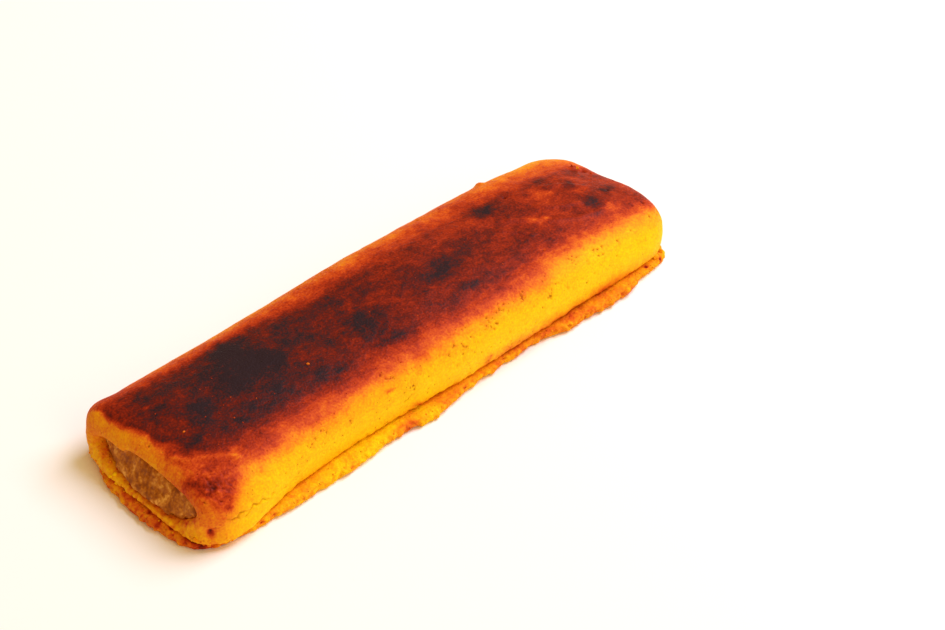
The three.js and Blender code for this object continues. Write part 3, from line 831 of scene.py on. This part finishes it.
def settle_base(points):
    """Moves the base's edge out or in, and presses it thin under the cover's foot."""
    x, y, radius, pull = BASE_PULL
    near = pull * bell(np.hypot(points[:, 0] - x, points[:, 1] - y), radius)
    points[:, :2] -= near[:, None] * np.array([x, y]) / math.hypot(x, y)
    near_edge = smooth_step(-points[:, 1], 19, 22)
    points[:, 1] -= near_edge * read_list(points[:, 0], BASE_OUT)
    x, y, radius, _, _ = FOOT_SPREADS[0]
    under_foot = bell(np.hypot(points[:, 0] - x, points[:, 1] - y), radius)
    points[:, 2] *= 1 - BASE_SQUASH * under_foot
    return points


def make_base():
    """The bottom sheet of dough, with torn edges that stick out a little past the cover."""
    base = copy_of_node("base", "crust_base")
    soften(base, BASE_VOXEL, BASE_ROUNDS)
    centres, _ = face_places(base)
    thin_out(base, ~at_rim(centres, *BASE_HIDDEN))
    centres, _ = face_places(base)
    refine(base, at_rim(centres, *BASE_EDGE))
    points, normals = read_points(base), read_normals(base)
    edge = smooth_step(np.hypot(normals[:, 0], normals[:, 1]), 0.2, 0.8)
    fine = (0.2 + 0.3 * edge) * lumps(points, 1.1, 33)
    holes = seam_holes(points)
    bake = base_bake(points, fine, holes)
    relief = edge * rough(points, TORN_EDGE) + (1 - edge) * rough(points, BASE_LUMPS) + fine - holes
    above = smooth_step(points[:, 2], 0.1, 0.8)  # the underside stays flat
    points += normals * (relief * above)[:, None]
    write_points(base, settle_base(points))
    write_values(base, "browning", bake)
    return base


# ---- the filling ----

def make_filling():
    """The fruit filling, lumpy where the burst end shows it."""
    filling = copy_of_node("filling", "fruit_filling")
    soften(filling, FILLING_VOXEL, FILLING_ROUNDS)
    centres, _ = face_places(filling)
    thin_out(filling, centres[:, 0] > FILLING_HIDDEN)
    centres, _ = face_places(filling)
    refine(filling, centres[:, 0] < FILLING_SHOWN)
    points, normals = read_points(filling), read_normals(filling)
    shown = towards_front(points, *FILLING_SHOWS)
    relief = FILLING_SWELL + rough(points, FILLING_LUMPS)
    points += normals * (relief * shown)[:, None]
    y, half_width, _, _, drop = LIP_SAG
    low = shown * below(points, *FILLING_FOOT)
    points[:, 2] -= drop * bell(points[:, 1] - y, half_width) * low
    points[:, 0] += shown * FILLING_RECESS * smooth_step(points[:, 1], 2, 15) - FILLING_SPILL * low
    write_points(filling, points)
    return filling


# ---- the crumbs ----

def crumb_places(random):
    """Every crumb's X, Y, Z, radius and browning. Each sinks to the nearest surface afterwards."""
    places = list(CRUMBS)
    half_length, half_width = CRUMB_RING
    for _ in range(LOOSE_CRUMBS):
        turn = random.uniform(0, 2 * math.pi)
        # An oval that is too large for the ring's box and is clipped to it
        x = half_length * np.clip(1.2 * math.cos(turn), -1, 1)
        y = half_width * np.clip(1.6 * math.sin(turn), -1, 1)
        z, radius = random.uniform(*CRUMB_HEIGHTS), random.uniform(*CRUMB_SIZES)
        places.append((x, y, z, radius, random.uniform(*CRUMB_BAKE)))
    for _ in range(TOP_SPECKS):
        x, y = random.triangular(*SPECK_X), random.triangular(*SPECK_Y)
        radius, brown = random.uniform(*SPECK_SIZES), random.uniform(*SPECK_BAKE)
        places.append((x, y, TOP_Z, radius, brown))
    return places


def make_crumb(random, number, spot, radius, brown):
    """One crumb: a ball, made uneven by two sizes of lumps and stretched at random."""
    # Those that stand out get a rounder ball; the small ones, over a hundred, have 80 faces each
    rounds = 3 if radius > CRUMB_SIZES[1] else 2
    bpy.ops.mesh.primitive_ico_sphere_add(subdivisions=rounds, radius=radius * MM, location=(0, 0, 0))
    crumb = bpy.context.object
    points = read_points(crumb)
    layers = [(radius, 0.35, 50 + number), (0.4 * radius, 0.2, 90 + number)]
    bumps = 1 + rough(points, layers)
    stretch = random.uniform(0.7, 1.3, 3)
    write_points(crumb, points * bumps[:, None] * stretch + spot)
    write_values(crumb, "browning", np.full(len(points), brown))
    return crumb


def make_crumbs(cover, base):
    """Crumbs stuck to the crust, each half sunk in the nearest surface, joined into one mesh."""
    random = np.random.default_rng(5)
    made = []
    for number, (x, y, z, radius, brown) in enumerate(crumb_places(random)):
        wanted = Vector((x, y, z)) * MM
        spots = [piece.closest_point_on_mesh(wanted)[1] for piece in (cover, base)]
        spot = min(spots, key=lambda place: (place - wanted).length)
        made.append(make_crumb(random, number, np.array(spot) / MM, radius, brown))
    make_active(made[0])
    for crumb in made:
        crumb.select_set(True)
    bpy.ops.object.join()
    crumbs = bpy.context.object
    crumbs.name = "crust_crumbs"
    return crumbs


# ---- the studio ----

# The camera stands at this azimuth and elevation, this far from the point that it looks at
CAMERA_AZIMUTH = -45.1
CAMERA_ELEVATION = 39.6
CAMERA_ROLL = 0.9
CAMERA_DISTANCE = 505
AIM = (17.56, -10.25, 7.66)
LENS = 76.19
SENSOR_WIDTH = 36.0
# Softboxes: name, azimuth, elevation, distance and size in m, power in W, colour as linear RGB
SOFTBOXES = [
    ("key", 78, 52, 1.4, 0.95, 18.2, (0.97, 0.99, 1.2)),
    ("side", -4, 35, 1.4, 0.8, 4.4, (1.0, 0.86, 0.55)),
]
ROOM_COLOUR, ROOM_STRENGTH = (1.0, 0.69, 0.28, 1.0), 0.5  # warm light from all round
FLOOR_SIZE = 6  # in m


def direction(azimuth, elevation):
    """The way from the roll to that azimuth, which is 0 on the -Y side, and elevation, in degrees."""
    a, e = math.radians(azimuth), math.radians(elevation)
    return Vector((math.sin(a) * math.cos(e), -math.cos(a) * math.cos(e), math.sin(e)))


def make_camera():
    """The camera, at the viewing angle of the photograph."""
    back = direction(CAMERA_AZIMUTH, CAMERA_ELEVATION)
    level = Vector((0, 0, 1)).cross(back).normalized()
    roll = Matrix.Rotation(math.radians(CAMERA_ROLL), 3, back)
    right = roll @ level
    up = back.cross(right)
    data = bpy.data.cameras.new("camera")
    data.lens = LENS
    data.sensor_width = SENSOR_WIDTH
    data.clip_start = 0.01
    camera = bpy.data.objects.new("camera", data)
    bpy.context.collection.objects.link(camera)
    camera.matrix_world = Matrix((right, up, back)).transposed().to_4x4()
    camera.location = (Vector(AIM) + back * CAMERA_DISTANCE) * MM
    bpy.context.scene.camera = camera


def make_softbox(name, azimuth, elevation, distance, size, power, colour):
    """A square softbox, turned to the roll."""
    bpy.ops.object.light_add(type="AREA", location=direction(azimuth, elevation) * distance)
    light = bpy.context.object
    light.name = name
    light.rotation_euler = direction(azimuth, elevation).to_track_quat("Z", "Y").to_euler()
    light.data.size = size
    light.data.energy = power
    light.data.color = colour


def make_studio():
    """A plain pale floor, soft light and a plain view of the colours."""
    bpy.ops.mesh.primitive_plane_add(size=FLOOR_SIZE, location=(0, 0, 0))
    floor = bpy.context.object
    floor.name = "floor"
    floor.data.materials.append(paper_material())
    for softbox in SOFTBOXES:
        make_softbox(*softbox)
    world = bpy.data.worlds.new("studio")
    bpy.context.scene.world = world
    world.use_nodes = True
    background = world.node_tree.nodes["Background"]
    background.inputs["Color"].default_value = ROOM_COLOUR
    background.inputs["Strength"].default_value = ROOM_STRENGTH
    view = bpy.context.scene.view_settings
    view.view_transform = "Standard"
    view.look = "None"


# ---- the roll ----

make_studio()
make_camera()
# Brushed with egg and browned by the oven: close-grained, with a faint sheen where it is darkest
browned = crust_material("egg_washed_shortcrust", roughness_pale=0.62, roughness_brown=0.45, bump=0.14)
# Rolled out and left bare: matt and crumbly, as if floured
pale = crust_material("pale_shortcrust", roughness_pale=0.75, roughness_brown=0.6, bump=0.3)
cover = make_cover()
base = make_base()
crumbs = make_crumbs(cover, base)
finish_piece(cover, browned, "cover")
finish_piece(base, pale, "base")
finish_piece(make_filling(), fruit_paste_material(), "filling")
finish_piece(crumbs, pale)
